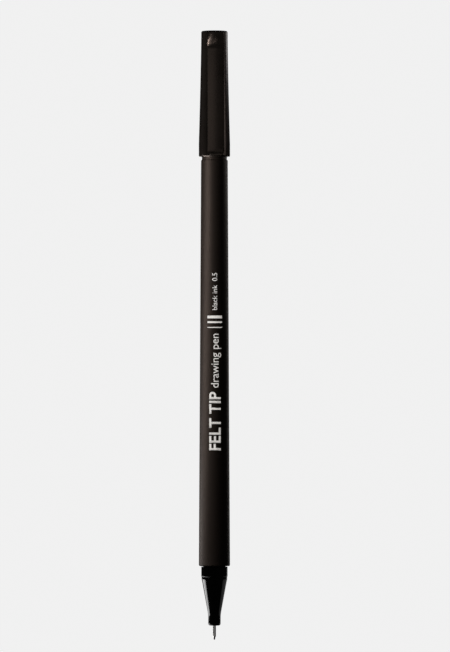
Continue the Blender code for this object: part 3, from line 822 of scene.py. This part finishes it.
# ---------------------------------------------------------------------------------------------------------
# Cap crown: the plug that closes the top of the cap, a little below its rim, with a vent through it.
# ---------------------------------------------------------------------------------------------------------
CROWN_FRONT_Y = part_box("cap_crown")[0].y
CROWN_REAR_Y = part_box("cap_crown")[1].y
CROWN_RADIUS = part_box("cap_crown")[1].x
CROWN_THICKNESS = 1.2 * MM
CROWN_VENT_RADIUS = 0.6 * MM
CROWN_VENT_SINK = 0.3 * MM
crown = turned_piece(
    "cap_crown_plug",
    [
        (CROWN_FRONT_Y, CROWN_VENT_RADIUS, 0),
        (CROWN_FRONT_Y, LINER_RADIUS, 0.2 * MM),
        (CROWN_REAR_Y - CROWN_THICKNESS, LINER_RADIUS, 0),
        (CROWN_REAR_Y - CROWN_THICKNESS, CROWN_RADIUS, 0),
        (CROWN_REAR_Y, CROWN_RADIUS, 0.15 * MM),
        (CROWN_REAR_Y, CROWN_VENT_RADIUS * 1.7, 0.06 * MM),
        (CROWN_REAR_Y - CROWN_VENT_SINK, CROWN_VENT_RADIUS, 0.05 * MM),
    ],
    closed_tube=True,
)
crown_black = satin_black(
    "crown_black", (0.0095, 0.0078, 0.0065), (0.015, 0.0125, 0.0105), 0.33, 2400, 0.002 * MM
)
finish_piece(crown, crown_black, "cap", "cap_crown")

# ---------------------------------------------------------------------------------------------------------
# Table and backdrop: the glowing top of a light table, with a pale wall all round it. Neither one lights
# the pen, whose flanks stay dark, and lamps under the top shine through it.
# ---------------------------------------------------------------------------------------------------------
TABLE_SIZE = 14.0
TABLE_GLOW = 0.876
WALL_GLOW = 0.88
WALL_RADIUS = 6.9
WALL_HEIGHT = 9.0


def stage_material(name, glow):
    """A pale glowing surface with a trace of unevenness."""
    made, nodes, links, shader = new_material(name, (0.08, 0.08, 0.08), 0.9)
    shader.inputs["Specular IOR Level"].default_value = 0.0
    shader.inputs["Emission Color"].default_value = (1, 1, 1, 1)
    shader.inputs["Emission Strength"].default_value = glow
    tone = noise(nodes, links, 30, detail=2)
    two_tone(nodes, links, shader, tone, (0.078, 0.078, 0.078), (0.082, 0.082, 0.082))
    return made


def put_on_stage(piece, glow):
    """Make an object part of the surroundings, seen by the camera only."""
    piece.data.materials.append(stage_material(piece.name + "_pale", glow))
    piece.visible_glossy = False
    piece.visible_diffuse = False
    piece.visible_shadow = False


deselect_all()
bpy.ops.mesh.primitive_plane_add(size=TABLE_SIZE, location=(0, 0, 0))
table = bpy.context.object
table.name = "table_top"
put_on_stage(table, TABLE_GLOW)
deselect_all()
bpy.ops.mesh.primitive_cylinder_add(
    vertices=96,
    radius=WALL_RADIUS,
    depth=WALL_HEIGHT,
    end_fill_type="NOTHING",
    location=(0, 0, WALL_HEIGHT / 2),
)
wall = bpy.context.object
wall.name = "wall"
put_on_stage(wall, WALL_GLOW)

# ---------------------------------------------------------------------------------------------------------
# Light: soft panels in a nearly dark room, each kept to its own pieces. On the barrel's left they are low
# at the nib end and higher towards the cap. Others light the right side and, through the table, the
# underside.
# ---------------------------------------------------------------------------------------------------------


def soft_light(name, azimuth, elevation, distance, size, brightness, aim_y, lit):
    """A rectangular lamp. Azimuth goes from straight left (-X) towards the cap (+Y), in degrees.

    Distance, size and aim are in metres. Brightness is the radiance of its surface.
    It lights only the pieces in the list.
    """
    turn, lift = math.radians(azimuth), math.radians(elevation)
    level = math.cos(lift)
    direction = Vector((-math.cos(turn) * level, math.sin(turn) * level, math.sin(lift)))
    data = bpy.data.lights.new(name, "AREA")
    data.shape = "RECTANGLE"
    data.size, data.size_y = size
    data.energy = brightness * math.pi * size[0] * size[1]
    light = bpy.data.objects.new(name, data)
    light.visible_camera = False
    bpy.context.scene.collection.objects.link(light)
    light.location = Vector((0, aim_y, AXIS_Z)) + direction * distance
    light.rotation_euler = (-direction).to_track_quat("-Z", "Y").to_euler()
    group = bpy.data.collections.new("lit_by_" + name)
    for piece in lit:
        group.objects.link(piece)
    light.light_linking.receiver_collection = group


print_pieces = [piece for piece in bpy.data.objects if piece.name.startswith("print_")]
barrel_pieces = print_pieces + [barrel]
cap_pieces = [cap_shell, crown, clip, liner]
tip_pieces = [section, sleeve, fibre]
LAMPS = [  # name, azimuth, elevation, distance, size, brightness, aim along the pen, lit pieces
    ("barrel_high", 0, 35, 0.13, (0.065, 0.036), 12.0, 0.058, barrel_pieces),
    ("barrel_middle", 0, 12, 0.13, (0.05, 0.045), 8.5, -0.012, barrel_pieces),
    ("barrel_low", 0, -27, 0.13, (0.045, 0.036), 7.3, -0.062, barrel_pieces),
    ("barrel_rim", 180, -30, 0.13, (0.035, 0.05), 2.0, 0.064, barrel_pieces),
    ("print_above", 0, 90, 0.3, (0.3, 0.3), 2.6, -0.01, print_pieces),
    ("overhead", 90, 86, 0.8, (0.5, 0.3), 0.3, 0.07, barrel_pieces),
    ("tip_low", -20, -28, 0.5, (0.19, 0.34), 4.6, -0.075, tip_pieces),
    ("tip_line", -20, -8, 0.5, (0.19, 0.03), 6.0, -0.075, tip_pieces),
    ("tip_front", -58, -15, 0.5, (0.26, 0.2), 3.0, -0.075, tip_pieces),
    ("tip_rim", -158, -35, 0.4, (0.2, 0.6), 0.22, -0.075, tip_pieces),
    ("tip_above", 0, 90, 0.3, (0.3, 0.3), 0.35, -0.085, [sleeve, fibre]),
    ("cap_blob", 73, 51, 0.5, (0.018, 0.28), 52.0, 0.085, [clip]),
    ("cap_blob_middle", 98, 52, 0.5, (0.01, 0.2), 4.0, 0.085, [clip]),
    ("cap_fill", 0, 0, 0.5, (0.3, 0.5), 0.08, 0.07, cap_pieces),
    ("cap_front", -58, -8, 0.5, (0.3, 0.3), 18.0, 0.05, cap_pieces),
    ("cap_edge", 180, 12, 0.13, (0.06, 0.052), 1.7, 0.09, cap_pieces),
    ("cap_rim", 180, -42, 0.13, (0.03, 0.05), 2.0, 0.1, cap_pieces),
    ("clip_face", 90, 88, 0.14, (0.035, 0.04), 0.55, 0.07, cap_pieces),
    ("barrel_right", 180, -55, 0.3, (0.16, 0.1), 1.2, -0.015, barrel_pieces),
    ("under_barrel", 90, -90, 0.5, (0.16, 0.5), 6.0, 0.0, barrel_pieces),
    ("under_cap", 90, -90, 0.5, (0.16, 0.5), 1.4, 0.0, cap_pieces),
    ("under_tip", 90, -90, 0.5, (0.16, 0.5), 1.0, 0.0, tip_pieces),
]
for lamp in LAMPS:
    soft_light(*lamp)

ROOM_LIGHT = (0.01, 0.01, 0.01, 1)
world = bpy.data.worlds.new("studio")
world.use_nodes = True
world.node_tree.nodes["Background"].inputs["Color"].default_value = ROOM_LIGHT
bpy.context.scene.world = world

# ---------------------------------------------------------------------------------------------------------
# Camera: straight above the pen, with a long lens. The pen sits a little left of the frame's middle.
# ---------------------------------------------------------------------------------------------------------
CAMERA_HEIGHT = 1.5
CAMERA_PLACE = (3.05 * MM, 2.7 * MM)
FRAME_HEIGHT = 188.1 * MM
SENSOR = 36.0
camera_data = bpy.data.cameras.new("camera")
camera_data.sensor_width = SENSOR
camera_data.lens = SENSOR * (CAMERA_HEIGHT - AXIS_Z) / FRAME_HEIGHT
camera = bpy.data.objects.new("camera", camera_data)
bpy.context.scene.collection.objects.link(camera)
camera.location = (*CAMERA_PLACE, CAMERA_HEIGHT)
bpy.context.scene.camera = camera
bpy.context.scene.view_settings.view_transform = "Standard"

bpy.context.view_layer.update()
